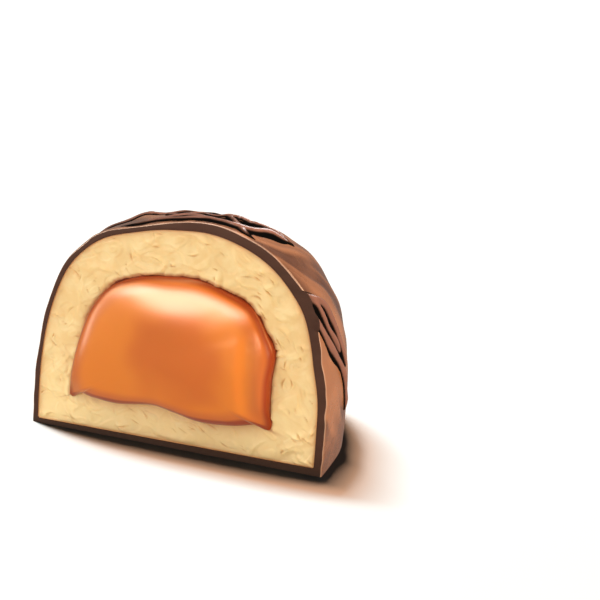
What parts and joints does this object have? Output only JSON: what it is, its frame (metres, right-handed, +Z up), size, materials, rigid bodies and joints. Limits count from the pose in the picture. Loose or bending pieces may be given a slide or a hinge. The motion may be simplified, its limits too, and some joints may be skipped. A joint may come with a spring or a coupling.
{
  "type": "filled chocolate",
  "caption": "Domed milk chocolate cut through its middle, with dark chocolate strands over a thin coating, pale cream inside and a glossy caramel core.",
  "frame": {"origin": "on the floor, under the middle of the piece's box", "axes": "+Z up; the cut face looks along -Y; +X runs along the cut, to the right as seen from the front"},
  "size_m": [0.0325, 0.0193, 0.0242],
  "materials": {
    "milk_chocolate": "semi-gloss milk chocolate with long soft folds",
    "dark_chocolate": "glossy dark chocolate of the strands and the cut edge",
    "cream_filling": "matte pale cream with a torn cut face",
    "caramel_core": "wet glossy caramel, slightly see-through"
  },
  "bodies": {
    "root": {"coating": "milk_chocolate", "cream": "cream_filling", "caramel": "caramel_core"}
  },
  "joints": []
}
